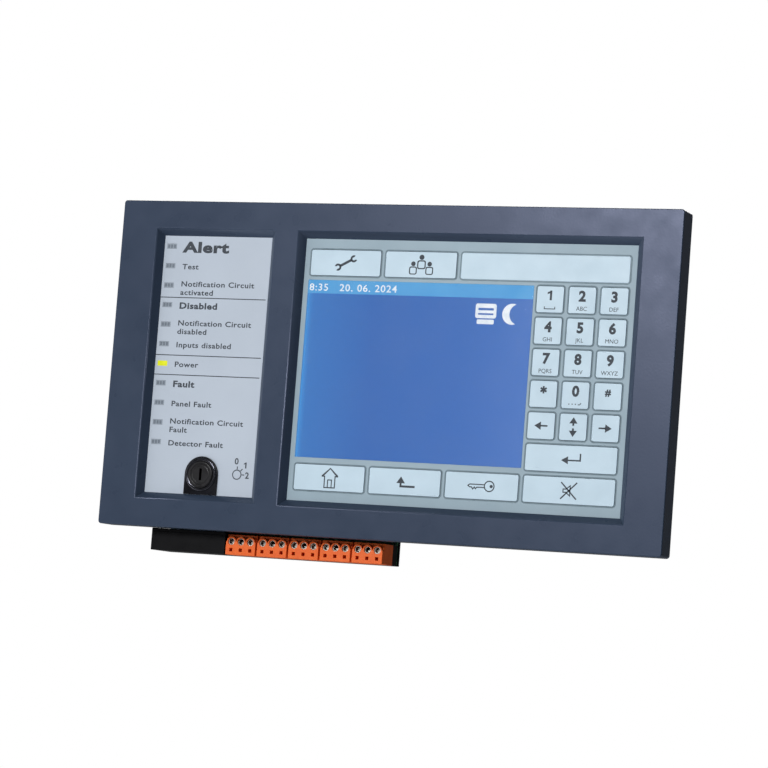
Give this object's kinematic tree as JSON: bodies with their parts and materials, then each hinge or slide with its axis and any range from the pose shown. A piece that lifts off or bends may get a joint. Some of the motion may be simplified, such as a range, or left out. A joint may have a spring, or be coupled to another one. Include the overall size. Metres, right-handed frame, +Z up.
{
  "type": "fire alarm control panel",
  "caption": "Wall or door mounted fire alarm control panel with a recessed display, sprung keys, status indicators, a key switch and pluggable terminals along its lower edge.",
  "frame": {"origin": "centre of the four mounting holes on the flat rear mounting face, which is in the plane Y = 0", "axes": "+X to the right as seen from the front, +Y into the wall out of the rear face, +Z up; the front face looks along -Y"},
  "size_m": [0.29, 0.06, 0.1719],
  "materials": {
    "frame_plastic": "satin",
    "housing_plastic": "satin",
    "label_film": "satin",
    "light_guide": "gloss",
    "power_guide": "gloss",
    "keypad_film": "satin",
    "key_cap": "satin",
    "display_glass": "gloss",
    "display_cell": "gloss",
    "black_plastic": "satin",
    "gloss_black": "gloss",
    "white_plastic": "satin",
    "circuit_board": "satin",
    "steel": "satin",
    "chrome": "gloss",
    "brass": "satin",
    "gold_plate": "gloss",
    "red_plastic": "satin",
    "lock_metal": "satin",
    "ribbon": "satin",
    "terminal_plastic": "satin"
  },
  "bodies": {
    "panel": {"front_frame": "frame_plastic", "mounting_plate": "housing_plastic", "rear_housing": "housing_plastic", "label_insert": "label_film", "indicator_lenses": "light_guide", "power_lens": "power_guide", "keypad_plate": "keypad_film", "display_window": "display_glass", "display_cell": "display_cell", "display_holder": "black_plastic", "display_backlight": "white_plastic", "keypad_board": "circuit_board", "snap_domes": "steel", "indicator_board": "circuit_board", "indicator_leds": "white_plastic", "lock_surround": "gloss_black", "lock_ring": "chrome", "lock_barrel": "lock_metal", "lock_nut": "chrome", "lock_switch": "red_plastic", "main_board": "circuit_board", "board_components": "black_plastic", "sounder": "black_plastic", "coin_cell": "steel", "ribbon_cable": "ribbon", "terminal_carrier": "black_plastic", "terminal_headers": "black_plastic", "header_pins": "gold_plate", "service_sockets": "steel", "housing_screws": "steel", "board_screws": "steel", "mounting_inserts": "brass"},
    "key_1_cap": {"key_1": "key_cap"},
    "key_2_cap": {"key_2": "key_cap"},
    "key_3_cap": {"key_3": "key_cap"},
    "key_4_cap": {"key_4": "key_cap"},
    "key_5_cap": {"key_5": "key_cap"},
    "key_6_cap": {"key_6": "key_cap"},
    "key_7_cap": {"key_7": "key_cap"},
    "key_8_cap": {"key_8": "key_cap"},
    "key_9_cap": {"key_9": "key_cap"},
    "key_star_cap": {"key_star": "key_cap"},
    "key_0_cap": {"key_0": "key_cap"},
    "key_hash_cap": {"key_hash": "key_cap"},
    "key_left_cap": {"key_left": "key_cap"},
    "key_up_down_cap": {"key_up_down": "key_cap"},
    "key_right_cap": {"key_right": "key_cap"},
    "key_enter_cap": {"key_enter": "key_cap"},
    "key_mute_cap": {"key_mute": "key_cap"},
    "key_home_cap": {"key_home": "key_cap"},
    "key_back_cap": {"key_back": "key_cap"},
    "key_access_cap": {"key_access": "key_cap"},
    "key_service_cap": {"key_service": "key_cap"},
    "key_groups_cap": {"key_groups": "key_cap"},
    "key_switch": {"lock_cylinder": "lock_metal"},
    "plug_1": {"terminal_plug_1": "terminal_plastic"},
    "plug_2": {"terminal_plug_2": "terminal_plastic"},
    "plug_3": {"terminal_plug_3": "terminal_plastic"},
    "plug_4": {"terminal_plug_4": "terminal_plastic"},
    "plug_5": {"terminal_plug_5": "terminal_plastic"}
  },
  "joints": [
    {"name": "key_1_press", "type": "slide", "parent": "panel", "child": "key_1_cap", "axis": [0, 1, 0], "range_m": [0, 0.0005], "stiffness_N_per_m": 1500, "springref_m": -0.001},
    {"name": "key_2_press", "type": "slide", "parent": "panel", "child": "key_2_cap", "axis": [0, 1, 0], "range_m": [0, 0.0005], "stiffness_N_per_m": 1500, "springref_m": -0.001},
    {"name": "key_3_press", "type": "slide", "parent": "panel", "child": "key_3_cap", "axis": [0, 1, 0], "range_m": [0, 0.0005], "stiffness_N_per_m": 1500, "springref_m": -0.001},
    {"name": "key_4_press", "type": "slide", "parent": "panel", "child": "key_4_cap", "axis": [0, 1, 0], "range_m": [0, 0.0005], "stiffness_N_per_m": 1500, "springref_m": -0.001},
    {"name": "key_5_press", "type": "slide", "parent": "panel", "child": "key_5_cap", "axis": [0, 1, 0], "range_m": [0, 0.0005], "stiffness_N_per_m": 1500, "springref_m": -0.001},
    {"name": "key_6_press", "type": "slide", "parent": "panel", "child": "key_6_cap", "axis": [0, 1, 0], "range_m": [0, 0.0005], "stiffness_N_per_m": 1500, "springref_m": -0.001},
    {"name": "key_7_press", "type": "slide", "parent": "panel", "child": "key_7_cap", "axis": [0, 1, 0], "range_m": [0, 0.0005], "stiffness_N_per_m": 1500, "springref_m": -0.001},
    {"name": "key_8_press", "type": "slide", "parent": "panel", "child": "key_8_cap", "axis": [0, 1, 0], "range_m": [0, 0.0005], "stiffness_N_per_m": 1500, "springref_m": -0.001},
    {"name": "key_9_press", "type": "slide", "parent": "panel", "child": "key_9_cap", "axis": [0, 1, 0], "range_m": [0, 0.0005], "stiffness_N_per_m": 1500, "springref_m": -0.001},
    {"name": "key_star_press", "type": "slide", "parent": "panel", "child": "key_star_cap", "axis": [0, 1, 0], "range_m": [0, 0.0005], "stiffness_N_per_m": 1500, "springref_m": -0.001},
    {"name": "key_0_press", "type": "slide", "parent": "panel", "child": "key_0_cap", "axis": [0, 1, 0], "range_m": [0, 0.0005], "stiffness_N_per_m": 1500, "springref_m": -0.001},
    {"name": "key_hash_press", "type": "slide", "parent": "panel", "child": "key_hash_cap", "axis": [0, 1, 0], "range_m": [0, 0.0005], "stiffness_N_per_m": 1500, "springref_m": -0.001},
    {"name": "key_left_press", "type": "slide", "parent": "panel", "child": "key_left_cap", "axis": [0, 1, 0], "range_m": [0, 0.0005], "stiffness_N_per_m": 1500, "springref_m": -0.001},
    {"name": "key_up_down_press", "type": "slide", "parent": "panel", "child": "key_up_down_cap", "axis": [0, 1, 0], "range_m": [0, 0.0005], "stiffness_N_per_m": 1500, "springref_m": -0.001},
    {"name": "key_right_press", "type": "slide", "parent": "panel", "child": "key_right_cap", "axis": [0, 1, 0], "range_m": [0, 0.0005], "stiffness_N_per_m": 1500, "springref_m": -0.001},
    {"name": "key_enter_press", "type": "slide", "parent": "panel", "child": "key_enter_cap", "axis": [0, 1, 0], "range_m": [0, 0.0005], "stiffness_N_per_m": 1500, "springref_m": -0.001},
    {"name": "key_mute_press", "type": "slide", "parent": "panel", "child": "key_mute_cap", "axis": [0, 1, 0], "range_m": [0, 0.0005], "stiffness_N_per_m": 1500, "springref_m": -0.001},
    {"name": "key_home_press", "type": "slide", "parent": "panel", "child": "key_home_cap", "axis": [0, 1, 0], "range_m": [0, 0.0005], "stiffness_N_per_m": 1500, "springref_m": -0.001},
    {"name": "key_back_press", "type": "slide", "parent": "panel", "child": "key_back_cap", "axis": [0, 1, 0], "range_m": [0, 0.0005], "stiffness_N_per_m": 1500, "springref_m": -0.001},
    {"name": "key_access_press", "type": "slide", "parent": "panel", "child": "key_access_cap", "axis": [0, 1, 0], "range_m": [0, 0.0005], "stiffness_N_per_m": 1500, "springref_m": -0.001},
    {"name": "key_service_press", "type": "slide", "parent": "panel", "child": "key_service_cap", "axis": [0, 1, 0], "range_m": [0, 0.0005], "stiffness_N_per_m": 1500, "springref_m": -0.001},
    {"name": "key_groups_press", "type": "slide", "parent": "panel", "child": "key_groups_cap", "axis": [0, 1, 0], "range_m": [0, 0.0005], "stiffness_N_per_m": 1500, "springref_m": -0.001},
    {"name": "key_switch_turn", "type": "hinge", "parent": "panel", "child": "key_switch", "pos_m": [-0.0925, -0.045, -0.0537], "axis": [0, 1, 0], "range_deg": [0, 90]},
    {"name": "plug_1_pull", "type": "slide", "parent": "panel", "child": "plug_1", "axis": [0, -1, 0], "range_m": [0, 0.012]},
    {"name": "plug_2_pull", "type": "slide", "parent": "panel", "child": "plug_2", "axis": [0, -1, 0], "range_m": [0, 0.012]},
    {"name": "plug_3_pull", "type": "slide", "parent": "panel", "child": "plug_3", "axis": [0, -1, 0], "range_m": [0, 0.012]},
    {"name": "plug_4_pull", "type": "slide", "parent": "panel", "child": "plug_4", "axis": [0, -1, 0], "range_m": [0, 0.012]},
    {"name": "plug_5_pull", "type": "slide", "parent": "panel", "child": "plug_5", "axis": [0, -1, 0], "range_m": [0, 0.012]}
  ]
}
